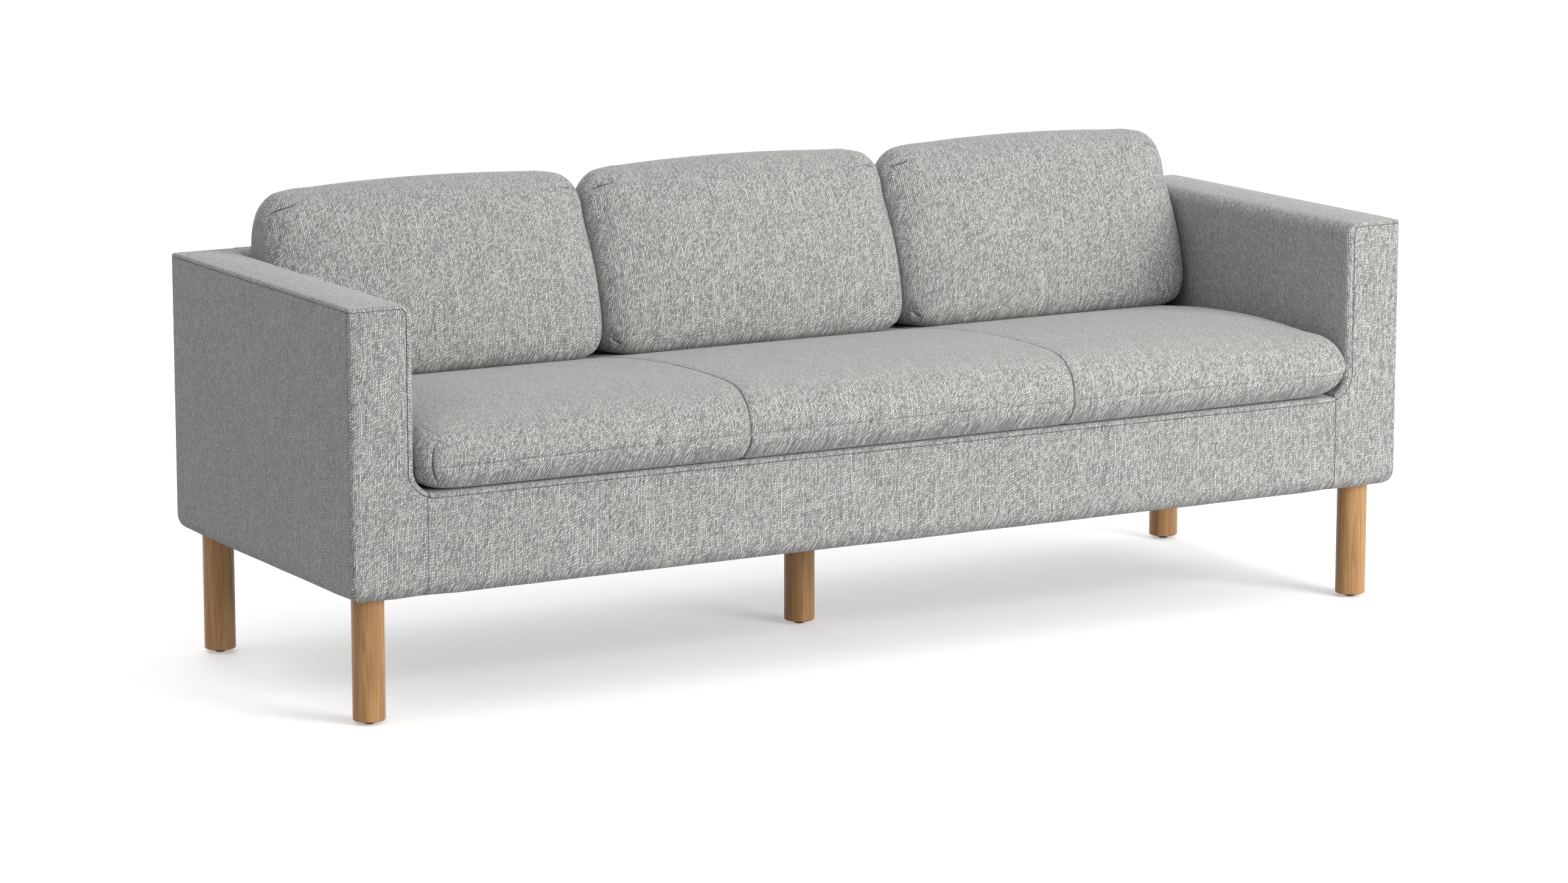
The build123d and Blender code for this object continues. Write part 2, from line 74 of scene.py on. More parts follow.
# How far each panel rolls over its edge before it is sewn
seam_roll = 0.0016
butt_roll = 0.0001
edge_roll = 0.0045
strip_roll = 0.011
rail_roll = 0.007

cloth_thickness = 0.0015
quarter = math.pi / 2

# Slight crown of the arms and the back, and how far in from the arms' ends it fades
arm_crown = 0.003
back_crown = 0.0015
crown_fade = 0.06

# Dust cover: its lap under the covers' edges, and the roll of its own edge
dust_lap = 0.005
dust_roll = 0.0008
dust_half = half_width - wrap + dust_lap

# Mitre of the covers at the bottom corners
mitre_steps = 8
mitre_lead = 0.9  # share of the corner radius where the straight edge ends
mitre_switch = 0.95  # share of the corner radius where the mitre starts


class Path:
    """A flat line of straight and evenly turning runs, read by the distance along it."""

    def __init__(self, start, heading):
        self.runs = []
        self.tip = (start[0], start[1], heading)
        self.length = 0.0

    def run(self, length, turn=0.0):
        self.runs.append((*self.tip, length, turn))
        self.tip = self.point(self.runs[-1], length)
        self.length += length
        return self

    @staticmethod
    def point(run, s):
        x, y, heading, length, turn = run
        if turn == 0:
            return x + s * math.cos(heading), y + s * math.sin(heading), heading
        radius = length / turn
        new = heading + s / radius
        return (
            x + radius * (math.sin(new) - math.sin(heading)),
            y - radius * (math.cos(new) - math.cos(heading)),
            new,
        )

    def at(self, s):
        """Place, and the direction square to the line on its left."""
        for run in self.runs[:-1]:
            if s <= run[3]:
                break
            s -= run[3]
        else:
            run = self.runs[-1]
        x, y, heading = self.point(run, s)
        return x, y, -math.sin(heading), math.cos(heading)


# Side of the body from its top edge down, round the bottom and in under it
side_height = top - bottom - bottom_radius
side = Path((0, top), -quarter)
side.run(side_height).run(bottom_radius * quarter, -quarter).run(wrap - bottom_radius)

# Inside of the right arm from the deck up, over the lip and out to its outer edge
seam_reach = cove_radius + rail_roll + seam_roll
cove_end = math.acos((rail_end - inner_half + cove_radius) / seam_reach)
cove_foot = inner_half - cove_radius + cove_radius * math.cos(cove_end)
cove_rise = deck + cove_radius - cove_radius * math.sin(cove_end)
arm = Path((cove_foot, cove_rise), quarter - cove_end)
arm.run(cove_radius * cove_end, cove_end).run(top - lip_radius - deck - cove_radius)
arm_lip = arm.length
arm.run(lip_radius * quarter, -quarter)
arm_flat = arm.length
arm.run(half_width - inner_half - lip_radius)

# Inside of the back from the deck up, over the lip and out to its rear edge
back = Path((back_inner, deck), quarter)
back.run(top - lip_radius - deck).run(lip_radius * quarter, -quarter).run(rear - back_inner - lip_radius)

corner_start = half_width - corner_radius
corner_end = corner_start + corner_radius * quarter
sewn_top = edge_roll + seam_roll


def ease(x):
    x = min(max(x, 0.0), 1.0)
    return x * x * (3 - 2 * x)


def spaced(low, high, count):
    return [low + (high - low) * i / count for i in range(count + 1)]


def crown(x, low, high, rise):
    """Height of a gentle bulge between two edges."""
    across = (x - low) / (high - low)
    return rise * max(0.0, 4 * across * (1 - across))


def round_corner(s, inset, edge):
    """Plan place and direction on a straight front, y = edge, that turns back at both corners."""
    reach = abs(s) - corner_start
    if reach <= 0:
        return s, edge + inset, 0.0, -1.0
    turn = reach / corner_radius
    radius = corner_radius - inset
    x = corner_start + radius * math.sin(turn)
    y = edge + corner_radius - radius * math.cos(turn)
    return math.copysign(x, s), y, math.copysign(math.sin(turn), s), -math.cos(turn)


# Surfaces of the body: the point in space and the outward direction at a place on each flat panel


def on_front(s, h):
    out, z, across, up = side.at(h)
    x, y, nx, ny = round_corner(s, -out, front)
    return Vector((x, y, z)), Vector((nx * across, ny * across, up))


def on_rear(s, h):
    out, z, across, up = side.at(h)
    x, y, nx, ny = round_corner(s, -out, -rear)
    return Vector((x, -y, z)), Vector((nx * across, -ny * across, up))


def on_side(y, h):
    out, z, across, up = side.at(h)
    return Vector((half_width + out, y, z)), Vector((across, 0, up))


def back_height(y):
    """Height of the back's rolled inner edge."""
    reach = lip_radius - (y - back_inner)
    if reach <= 0:
        return top
    return top - lip_radius + math.sqrt(max(0.0, lip_radius**2 - reach**2))


def on_arm(a, y):
    x, z, nx, nz = arm.at(a)
    fading = ease(min(y - front, rear - y) / crown_fade)
    z += crown(x, inner_half + lip_radius, half_width, arm_crown) * fading
    normal = Vector((nx, 0, nz))
    if y > back_inner and z < back_height(y):
        z = back_height(y)
        lean = max(0.0, lip_radius - (y - back_inner)) / lip_radius
        normal = Vector((0, -lean, math.sqrt(max(0.01, 1 - lean * lean)))).normalized()
    return Vector((x, y, z)), normal


def on_back(b, x):
    y, z, ny, nz = back.at(b)
    z += crown(y, back_inner + lip_radius, rear, back_crown)
    return Vector((x, y, z)), Vector((0, ny, nz))


def deck_height(x):
    """Height of the deck, which sweeps up to meet the arms."""
    reach = abs(x) - (inner_half - cove_radius)
    if reach <= 0:
        return deck, 0.0
    rise = cove_radius - math.sqrt(cove_radius**2 - reach**2)
    return deck + rise, math.copysign(reach / cove_radius, x)


def on_deck(x, y):
    z, lean = deck_height(x)
    return Vector((x, y, z)), Vector((-lean, 0, math.sqrt(1 - lean * lean)))


def under(x, y):
    return Vector((x, y, bottom)), Vector((0, 0, -1))


# Steps of the mesh over a panel's rolled edge, and the steps that grade it into the panel
roll_steps = (0, 0.1, 0.22, 0.36, 0.52, 0.7, 0.86, 1)
grade_steps = (0.002, 0.006, 0.013)
border_step = 0.006
grid_margin = 0.3  # share of the mesh spacing kept free beside the graded rows
clear_share = 0.9  # points nearer another side than this share of their own distance are left out
least_spread = 0.4  # limits how far a sharp corner's mitre reaches
nudge = 1e-4
no_seam = 0.02  # written on points far from any seam

# Padding under a panel: where it is at its full height, and its slight dents in waves per metre
puff_reach = 0.06
unevenness = 0.0005
broad_dents = 7.0
small_dents = 19.0


def rolled(share, roll):
    """Distance in from a rolled edge and depth below it, and the cloth left before the seam."""
    bend = roll * quarter
    length = bend
    if roll > seam_roll:
        length += seam_roll * quarter
    left = share * length if roll > butt_roll else no_seam
    gone = (1 - share) * length
    if gone <= bend:
        angle = gone / roll
        return roll * (1 - math.sin(angle)), roll * (1 - math.cos(angle)), left
    angle = (gone - bend) / seam_roll
    tuck = seam_roll * math.sin(angle)
    return seam_roll * (1 - math.cos(angle)), roll + tuck, left


def dense(border):
    """The border's corners with points between them."""
    points = []
    for start, end in zip(border, border[1:] + border[:1]):
        count = max(1, math.ceil(math.dist(start[:2], end[:2]) / border_step))
        for i in range(count):
            points.append(np.array(start) + (np.array(end) - np.array(start)) * i / count)
    points = np.array(points)
    x, y = points[:, 0], points[:, 1]
    area = np.sum(x * np.roll(y, -1) - np.roll(x, -1) * y)
    return points if area > 0 else points[::-1]


def inward(points):
    """Mitre direction in from each point of a border that runs anticlockwise."""
    ahead = np.roll(points, -1, axis=0) - points
    left = np.stack([-ahead[:, 1], ahead[:, 0]], axis=1)
    left /= np.linalg.norm(left, axis=1)[:, None]
    before = np.roll(left, 1, axis=0)
    spread = 1 + np.sum(left * before, axis=1)
    return (left + before) / np.maximum(spread, least_spread)[:, None]


def inside(points, border):
    """Which points lie inside a border."""
    x, y = points[:, 0], points[:, 1]
    within = np.zeros(len(points), bool)
    for (x0, y0), (x1, y1) in zip(border, np.roll(border, -1, axis=0)):
        if y0 == y1:
            continue
        crossing = x0 + (y - y0) / (y1 - y0) * (x1 - x0)
        within ^= ((y0 > y) != (y1 > y)) & (x < crossing)
    return within


def uneven(point):
    """Slight unevenness of hand-fitted padding, about -1 to 1."""
    return noise.noise(point * broad_dents) + 0.5 * noise.noise(point * small_dents)


class Edge:
    """A panel's border as points with a roll each, and the mitre in from each of them."""

    def __init__(self, border):
        points = dense(border)
        self.flat, self.roll = points[:, :2], points[:, 2]
        self.mitre = inward(self.flat)
        self.tree = kdtree.KDTree(len(self.flat))
        for i, spot in enumerate(self.flat):
            self.tree.insert((*spot, 0), i)
        self.tree.balance()

    def gap(self, spot):
        """Distance from the border, and its nearest point's number."""
        _, i, gap = self.tree.find((*spot, 0))
        return gap, i


class Cloth:
    """Points of a panel: on the flat panel, in space, and the cloth left before the seam."""

    def __init__(self):
        self.plan, self.space, self.seam = [], [], []

    def add(self, spot, point, left):
        self.plan.append(spot)
        self.space.append(point)
        self.seam.append(left)


def roll_edge(cloth, edge, place):
    """Adds the points of a panel's rolled edge, from the seam inwards."""
    feet = []
    for (s, t), (ms, mt) in zip(edge.flat, edge.mitre):
        foot, normal = place(s, t)
        ahead = place(s + ms * nudge, t + mt * nudge)[0]
        feet.append((foot, (ahead - foot) / nudge, normal))
    for share in roll_steps:
        for i, (foot, across, normal) in enumerate(feet):
            spot = edge.flat[i] + edge.mitre[i] * share * edge.roll[i]
            if edge.gap(spot)[0] < clear_share * share * edge.roll[i]:
                continue
            along, depth, left = rolled(share, edge.roll[i])
            cloth.add(spot, foot + across * along - normal * depth, left)


def inner_spots(edge, grid):
    """Places inside the rolled edge: graded rows along it, then an even grid."""
    spots = []
    for step in grade_steps:
        row = edge.flat + edge.mitre * (edge.roll + step)[:, None]
        least = clear_share * step + edge.roll.min()
        spots.extend(spot for spot in row if edge.gap(spot)[0] > least)
    low, high = edge.flat.min(axis=0), edge.flat.max(axis=0)
    s, t = (np.arange(low[k] + grid[k] / 2, high[k], grid[k]) for k in (0, 1))
    cells = np.stack(np.meshgrid(s, t), axis=-1).reshape(-1, 2)
    for spot in cells[inside(cells, edge.flat)]:
        gap, i = edge.gap(spot)
        if gap > edge.roll[i] + grade_steps[-1] + grid_margin * min(grid):
            spots.append(spot)
    return spots


def fill_panel(cloth, edge, place, puff, grid):
    """Adds the points inside the rolled edge, lifted by the padding."""
    for spot in inner_spots(edge, grid):
        gap, i = edge.gap(spot)
        point, normal = place(*spot)
        lift = ease((gap - edge.roll[i]) / puff_reach)
        cloth.add(spot, point + normal * lift * (puff + unevenness * uneven(point)), no_seam)


def panel_mesh(name, border, place, puff, grid, mirrored):
    """Cloth panel with rolled edges. border lists (s, t, roll) round it, and place sets it in space."""
    edge, cloth = Edge(border), Cloth()
    roll_edge(cloth, edge, place)
    fill_panel(cloth, edge, place, puff, grid)
    ring = list(range(len(edge.flat)))
    found = delaunay_2d_cdt([Vector(spot) for spot in cloth.plan], [], [ring], 1, 1e-7)
    faces, source = found[2], [ids[0] for ids in found[3]]
    sign = -1 if mirrored else 1
    points = [(sign * cloth.space[i].x, cloth.space[i].y, cloth.space[i].z) for i in source]
    sample = faces[len(faces) // 2]
    a, b, c = (np.array(points[k]) for k in sample[:3])
    outward = np.array(place(*cloth.plan[source[sample[0]]])[1]) * (sign, 1, 1)
    if np.dot(np.cross(b - a, c - a), outward) < 0:
        faces = [face[::-1] for face in faces]
    mesh = bpy.data.meshes.new(name)
    mesh.from_pydata(points, [], faces)
    mesh.validate()
    # The distance to the seam is kept for the tweed, which paints shade in the seam's groove by it
    store(mesh, "seam", [cloth.seam[i] for i in source])
    return mesh


def store(mesh, name, values):
    """Keeps one number for each point of the mesh, for its material."""
    mesh.attributes.new(name, "FLOAT", "POINT").data.foreach_set("value", values)


def dress(piece, body, slot, material, *nodes):
    """Gives a piece its material, its body and the nodes it stands for."""
    piece.data.shade_smooth()
    piece.data.materials.clear()
    piece.data.materials.append(material)
    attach(piece, body)
    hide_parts(*nodes)


def add_object(name, data):
    thing = bpy.data.objects.new(name, data)
    scene.collection.objects.link(thing)
    return thing


def modify(piece, name, kind, **settings):
    """Adds a modifier with its settings."""
    modifier = piece.modifiers.new(name, kind)
    for key, value in settings.items():
        setattr(modifier, key, value)


class Graph:
    """A material's nodes, added one call at a time."""

    def __init__(self, name):
        self.material = bpy.data.materials.new(name)
        self.material.use_nodes = True
        self.tree = self.material.node_tree
        self.shader = self.tree.nodes["Principled BSDF"]

    def add(self, kind, settings=None, **inputs):
        node = self.tree.nodes.new("ShaderNode" + kind)
        for key, value in (settings or {}).items():
            setattr(node, key, value)
        for key, value in inputs.items():
            self.feed(node.inputs[key.replace("_", " ")], value)
        return node

    def feed(self, socket, value):
        if isinstance(value, bpy.types.NodeSocket):
            self.tree.links.new(value, socket)
        else:
            socket.default_value = value

    def math(self, operation, *values, clamp=False):
        node = self.tree.nodes.new("ShaderNodeMath")
        node.operation = operation
        node.use_clamp = clamp
        for socket, value in zip(node.inputs, values):
            self.feed(socket, value)
        return node.outputs[0]

    def blend(self, share, a, b):
        """a + share * (b - a), for numbers."""
        return self.add("Mix", Factor=share, A=a, B=b).outputs[0]

    def span(self, value, low, high, new_low=0.0, new_high=1.0):
        """value moved from one range to another, and held inside it."""
        ranges = {"From_Min": low, "From_Max": high, "To_Min": new_low, "To_Max": new_high}
        return self.add("MapRange", Value=value, **ranges).outputs[0]

    def point(self, x, y, z=0.0):
        return self.add("CombineXYZ", X=x, Y=y, Z=z).outputs[0]

    def noise(self, vector, scale, detail=2.0, roughness=0.5):
        node = self.add("TexNoise", Vector=vector, Scale=scale, Detail=detail, Roughness=roughness)
        return node.outputs["Fac"]

    def ramp(self, value, *stops):
        node = self.add("ValToRGB", Fac=value)
        for _ in stops[2:]:
            node.color_ramp.elements.new(0.5)
        for element, (place, colour) in zip(node.color_ramp.elements, stops):
            element.position = place
            element.color = (*colour, 1)
        return node.outputs[0]

    def bump(self, height, distance, strength):
        self.set(Normal=self.add("Bump", Height=height, Distance=distance, Strength=strength).outputs[0])

    def set(self, **inputs):
        for key, value in inputs.items():
            self.feed(self.shader.inputs[key.replace("_", " ")], value)


# Tweed, in millimetres: its leaning floats, and finer ones that lean the other way
float_pitch, float_length, float_lean = 2.7, 4.9, 0.9
hatch_pitch, hatch_length, hatch_lean = 1.7, 3.1, -0.8
drift_width, drift_length, drift_shift = 7.0, 45.0, 4.0
jitter_shift = 5.0
slub_length = 120.0
column_offset = 7.7  # largest step between neighbouring columns, in floats
column_step = 5.37  # keeps the slubs of neighbouring columns apart

# Shape of a float and of the ditch beside it, as powers of a sine
float_fullness, float_taper, ditch_power = 0.8, 1.6, 3.0

# Levels of the streaks where slubs and gaps begin and are full, and a slub's extra height
slub_span, gap_span, slub_height = (0.57, 0.68), (0.40, 0.30), 0.5

# Noises of the tweed, in waves per metre
fray_scale = 180.0
jitter_scale = 160.0
fibre_scale = 900.0

# Share of each effect in the tweed's tone
shade_range, shade_least = 0.88, 0.28
slub_swell = 0.28
hatch_share = 0.16
slub_share = 0.05
gap_share = -0.06
# Painted shade in the ditches beside the raised slubs
ditch_shade_share = -0.45
fibre_share = 0.85
# Painted light and shade: on faces that look up or to the side the pattern is evened toward the middle tone,
# standing in for the flat look the light gives those faces
up_face_evening = 0.5  # how even the tone is on faces that look up
side_calm = 0.45  # and on faces that look left or right
facing_span = (0.7, 0.95)  # where a face begins to look that way, and fully does
fray_share = 0.1  # how uneven the line is where the threads turn a corner
fold_lean = 0.3  # where the cloth begins to face the rear
middle_tone = 0.36

# Reflectance of the yarns, and their slight warmth
dark_yarn, light_yarn = 0.10, 0.90
yarn_tint = (1.0, 0.99, 0.965)
# Painted shade in the seams' grooves: the share the tone is darkened to at a seam, and the metres over which
# it fades
painted_seam_shade, seam_span = 0.35, (0.0002, 0.0020)  # and the metres over which it fades


def cloth_plane(graph, along_y):
    """Thread coordinates across and along the cloth, in millimetres, carried over the panel's edges."""
    place = graph.add("TexCoord")
    x, y, z = graph.add("SeparateXYZ", Vector=place.outputs["Object"]).outputs
    nx, ny, nz = graph.add("SeparateXYZ", Vector=place.outputs["Normal"]).outputs
    if along_y:
        x, y, nx, ny = y, x, ny, nx
    ax, ay, az = (graph.math("ABSOLUTE", n) for n in (nx, ny, nz))
    fray = graph.math("MULTIPLY", graph.noise(place.outputs["Object"], fray_scale), fray_share)
    at_end = graph.math("GREATER_THAN", graph.math("ADD", ax, fray), graph.math("MAXIMUM", ay, az))
    fold = graph.span(graph.math("GREATER_THAN", ny, fold_lean), 0, 1, 1, -1)
    across = graph.blend(at_end, x, graph.math("MULTIPLY", y, graph.math("SIGN", nx)))
    along = graph.math("ADD", z, graph.math("MULTIPLY", graph.blend(at_end, fold, 0.0), y))
    u, v = (graph.math("MULTIPLY", w, 1000) for w in (across, along))
    return place.outputs["Object"], u, v


def facing(graph):
    """1 where the cloth faces up, and 1 where it faces left or right."""
    nx, _, nz = graph.add("SeparateXYZ", Vector=graph.add("TexCoord").outputs["Normal"]).outputs
    return [graph.span(n, *facing_span) for n in (nz, graph.math("ABSOLUTE", nx))]


def floats(graph, u, v, pitch, length, lean):
    """Yarn floats in columns: a float's height and shade, its column, and the ditch beside it."""
    place = graph.math("DIVIDE", u, pitch)
    column = graph.math("FLOOR", place)
    share = graph.math("FRACT", place)
    offset = graph.add("TexWhiteNoise", {"noise_dimensions": "1D"}, W=column).outputs["Value"]
    chain = graph.math("MULTIPLY_ADD", v, 1 / length, graph.math("MULTIPLY", offset, column_offset))
    chain = graph.math("SUBTRACT", chain, graph.math("MULTIPLY", share, lean))
    cell = graph.point(column, graph.math("FLOOR", chain))
    shade = graph.add("TexWhiteNoise", {"noise_dimensions": "2D"}, Vector=cell).outputs["Value"]
    across = graph.math("SINE", graph.math("MULTIPLY", share, math.pi))
    along = graph.math("SINE", graph.math("MULTIPLY", graph.math("FRACT", chain), math.pi))
    ditch = graph.math("POWER", graph.math("SUBTRACT", 1.0, across), ditch_power)
    across = graph.math("POWER", across, float_fullness)
    mark = graph.math("MULTIPLY", across, graph.math("POWER", along, float_taper))
    return mark, shade, column, ditch


def threads(graph, space, u, v):
    """Tone of the tweed's threads without their fibres, and their height."""
    drift = graph.point(graph.math("DIVIDE", u, drift_width), graph.math("DIVIDE", v, drift_length))
    u = graph.math("MULTIPLY_ADD", graph.noise(drift, 1.0), drift_shift, u)
    v = graph.math("MULTIPLY_ADD", graph.noise(space, jitter_scale), jitter_shift, v)
    mark, shade, column, ditch = floats(graph, u, v, float_pitch, float_length, float_lean)
    hatch = floats(graph, u, v, hatch_pitch, hatch_length, hatch_lean)[0]
    slub_row = graph.math("MULTIPLY", column, column_step)
    streak = graph.noise(graph.point(slub_row, graph.math("DIVIDE", v, slub_length)), 1.0, 1.0)
    slub = graph.span(streak, *slub_span)
    gap = graph.span(streak, *gap_span)
    strength = graph.math("MULTIPLY_ADD", shade, shade_range, shade_least)
    strength = graph.math("MULTIPLY_ADD", slub, slub_swell, strength)
    tone = graph.math("MULTIPLY", mark, strength)
    effects = (
        (hatch, hatch_share),
        (slub, slub_share),
        (gap, gap_share),
        # Painted shade: the ditch at the edges of a slub's column is darkened
        (graph.math("MULTIPLY", ditch, slub), ditch_shade_share),
    )
    for effect, share in effects:
        tone = graph.math("MULTIPLY_ADD", effect, share, tone)
    return tone, graph.math("MULTIPLY_ADD", slub, slub_height, mark)


def tweed(name, along_y=False):
    """Light grey marled tweed: leaning floats of pale yarn over dark, with slubs along the cloth."""
    graph = Graph(name)
    space, u, v = cloth_plane(graph, along_y)
    upward, sideways = facing(graph)
    tone, height = threads(graph, space, u, v)
    # Painted light and shade: the tone is evened on faces that look sideways here, and on faces that look up
    # below
    tone = graph.blend(graph.math("MULTIPLY", sideways, side_calm), tone, middle_tone)
    fibre = graph.math("SUBTRACT", graph.noise(space, fibre_scale), 0.5)
    tone = graph.math("MULTIPLY_ADD", fibre, fibre_share, tone, clamp=True)
    # Painted flat light on faces that look up
    tone = graph.blend(graph.math("MULTIPLY", upward, up_face_evening), tone, middle_tone)
    # Painted shade: the tone is darkened near each seam, by the distance kept in the seam attribute
    groove = graph.add("Attribute", {"attribute_name": "seam"}).outputs["Fac"]
    groove = graph.span(groove, *seam_span, painted_seam_shade, 1.0)
    light = graph.math("MULTIPLY", graph.span(tone, 0, 1, dark_yarn, light_yarn), groove)
    red, green, blue = (graph.math("MULTIPLY", light, share) for share in yarn_tint)
    graph.set(Base_Color=graph.add("CombineColor", Red=red, Green=green, Blue=blue).outputs[0])
    graph.set(Roughness=graph.span(tone, 0, 1, 0.98, 0.84))
    graph.set(Sheen_Weight=0.25, Sheen_Roughness=0.4, Specular_IOR_Level=0.2)
    graph.bump(height, 0.0006, 0.5)
    return graph.material


def plain_weave(name, colour, pitch, roughness):
    """Plain woven or bonded cloth, in one colour, with its threads in millimetres."""
    graph = Graph(name)
    space, u, v = cloth_plane(graph, False)
    cells = [graph.math("SINE", graph.math("MULTIPLY", w, 2 * math.pi / pitch)) for w in (u, v)]
    weave = graph.math("MULTIPLY", *cells)
    blotch = graph.noise(space, 40, 4.0)
    shade = graph.math("ADD", graph.math("MULTIPLY", weave, 0.12), graph.math("MULTIPLY", blotch, 0.7))
    dark = tuple(0.7 * c for c in colour)
    light = tuple(1.25 * c for c in colour)
    graph.set(Base_Color=graph.ramp(shade, (0.15, dark), (0.55, light)))
    graph.set(Roughness=roughness, Specular_IOR_Level=0.2)
    graph.bump(weave, 0.0004, 0.5)
    return graph.material


# Wood: its figure along the leg, and the share of rings, broad figure and pores in its tone
leg_grain = (45.0, 45.0, 2.2)
timber_grain = (30.0, 30.0, 30.0)
board_grain = (60.0, 60.0, 60.0)
pore_scale = 9
ring_waves = 38.0
ring_share = 0.16
figure_share = 0.75
pore_share = 0.55


def wood(name, light, dark, roughness, grain):
    """Timber with its grain along the axis of the smallest scale."""
    graph = Graph(name)
    place = graph.add("TexCoord").outputs["Object"]
    figure = graph.add("Mapping", Vector=place, Scale=grain).outputs[0]
    pores = graph.add("Mapping", Vector=place, Scale=[pore_scale * g for g in grain]).outputs[0]
    broad = graph.noise(figure, 1.0, 3.0, 0.6)
    rings = graph.math("SINE", graph.math("MULTIPLY", broad, ring_waves))
    fine = graph.noise(pores, 1.0, 2.0, 0.7)
    streak = graph.math("MULTIPLY_ADD", rings, ring_share, graph.math("MULTIPLY", broad, figure_share))
    streak = graph.math("MULTIPLY_ADD", graph.math("SUBTRACT", fine, 0.5), pore_share, streak)
    middle = tuple((a + b) / 2 for a, b in zip(light, dark))
    graph.set(Base_Color=graph.ramp(streak, (0.16, dark), (0.38, middle), (0.62, light)))
    graph.set(Roughness=graph.span(fine, 0.3, 0.7, roughness + 0.12, roughness - 0.06))
    graph.bump(fine, 0.0003, 0.35)
    return graph.material


steel_tones = ((0.42, 0.42, 0.43), (0.62, 0.62, 0.63))
black_tones = ((0.008, 0.008, 0.008), (0.02, 0.02, 0.02))


def grained(name, scale, tones, roughness, bump, metallic=0.0, detail=2.0):
    """Steel or plastic with a fine grain, between two tones and two roughnesses."""
    graph = Graph(name)
    grain = graph.noise(graph.add("TexCoord").outputs["Object"], scale, detail)
    graph.set(Base_Color=graph.ramp(grain, *zip((0.3, 0.7), tones)))
    graph.set(Metallic=metallic, Roughness=graph.span(grain, 0.3, 0.7, *roughness))
    graph.bump(grain, 0.0001, bump)
    return graph.material


def foam_cells(name):
    """Pale foam with open cells."""
    graph = Graph(name)
    place = graph.add("TexCoord").outputs["Object"]
    cells = graph.add("TexVoronoi", Vector=place, Scale=700.0).outputs["Distance"]
    graph.set(Base_Color=graph.ramp(cells, (0.0, (0.72, 0.66, 0.48)), (0.6, (0.88, 0.83, 0.68))))
    graph.set(Roughness=0.95)
    graph.bump(cells, 0.0006, 0.5)
    return graph.material


grey_tweed = tweed("grey_tweed")
arm_tweed = tweed("grey_tweed_arms", along_y=True)
deck_cloth = plain_weave("deck_cloth", (0.30, 0.30, 0.30), 1.6, 0.9)
dust_cloth = plain_weave("dust_cloth", (0.03, 0.03, 0.03), 1.2, 0.95)
finishes = {
    "leg_oak": wood("leg_oak", (0.525, 0.287, 0.109), (0.35, 0.176, 0.064), 0.42, leg_grain),
    "frame_timber": wood("frame_timber", (0.70, 0.55, 0.36), (0.50, 0.36, 0.20), 0.7, timber_grain),
    "lining_board": wood("lining_board", (0.52, 0.40, 0.26), (0.38, 0.27, 0.16), 0.8, board_grain),
    "webbing": plain_weave("webbing", (0.22, 0.18, 0.14), 2.0, 0.9),
    "foam": foam_cells("foam"),
    "fastener_steel": grained(
        "fastener_steel", 900, steel_tones, (0.28, 0.45), 0.2, metallic=1.0, detail=3.0
    ),
    "black_plastic": grained("black_plastic", 1500, black_tones, (0.45, 0.62), 0.3),
    "grey_tweed": grey_tweed,
    "deck_cloth": deck_cloth,
    "dust_cloth": dust_cloth,
}
for part in frame["record"]["subparts"]:
    node = frame["nodes"][part["node"]]
    node.data.materials.clear()
    node.data.materials.append(finishes[part["material_slot"]])


def inset_at(h):
    """How far the side of the body is drawn in, at a distance down it."""
    return -side.at(h)[0]


def mitred(edge_at):
    """Border down one bottom corner: straight down the side, then the mitre under the body."""
    insets = [mitre_lead * corner_radius] + spaced(corner_radius, bottom_radius, mitre_steps)
    bends = [side_height + bottom_radius * math.acos(1 - inset / bottom_radius) for inset in insets]
    heights = [sewn_top, *bends, side.length]
    return [(edge_at(inset_at(h)), h, butt_roll) for h in heights]


def front_edge(inset):
    """Where the front panel ends at a corner: round it on the side, at the mitre below."""
    return corner_end if inset < corner_radius * mitre_switch else half_width - inset


def side_edge(inset):
    """Where the arm's outer panel ends at the front."""
    return front + max(corner_radius, inset)


def arm_roll(a):
    """Roll of the arm's inner panel over the front edge at a place on its profile."""
    foot = cove_radius * cove_end
    if a < foot:
        return rail_roll + (strip_roll - rail_roll) * ease(a / foot)
    return strip_roll + (edge_roll - strip_roll) * ease((a - arm_lip) / (arm_flat - arm_lip))


def front_seam(a):
    """Where the arm's front panel is sewn to its inner panel, as a place on the front."""
    x, z, nx, nz = arm.at(a)
    reach = arm_roll(a) + seam_roll
    return x - nx * reach, top - (z - nz * reach), seam_roll


def corner_cut(x):
    """How far the plan outline is back from the front at a place near a corner."""
    reach = min(max(0.0, x - corner_start), corner_radius)
    return corner_radius - math.sqrt(corner_radius**2 - reach**2)


def arm_outer_border():
    front_side = mitred(side_edge)
    rear_side = [(front + rear - y, h, roll) for y, h, roll in reversed(front_side)]
    return front_side + rear_side


def arm_front_border():
    inner = [front_seam(a) for a in spaced(arm_flat, 0, 60)]
    outer = mitred(front_edge)[:0:-1]
    return [(corner_end, sewn_top, seam_roll), *inner, (rail_end, side.length, seam_roll), *outer]


def arm_inner_border():
    corner = [arm.length - corner_radius * (1 - math.sin(t)) for t in spaced(0, quarter, 6)]
    stops = spaced(0, cove_radius * cove_end, 8) + spaced(arm_lip, arm_flat, 8) + corner
    along_front = [(a, front + corner_cut(arm.at(a)[0]), arm_roll(a)) for a in stops]
    along_rear = [(a, rear - corner_cut(arm.at(a)[0]), edge_roll) for a in reversed([arm_lip] + corner)]
    inside_corner = [(arm_lip, back_inner, seam_roll), (0, back_inner, seam_roll)]
    return along_front + along_rear + inside_corner


def back_inner_border():
    b, x = back.length, inner_half
    return [(0, -x, seam_roll), (b, -x, edge_roll), (b, x, edge_roll), (0, x, seam_roll)]


def back_outer_border():
    right = mitred(front_edge)
    left = [(-s, h, roll) for s, h, roll in reversed(right)]
    return right + left


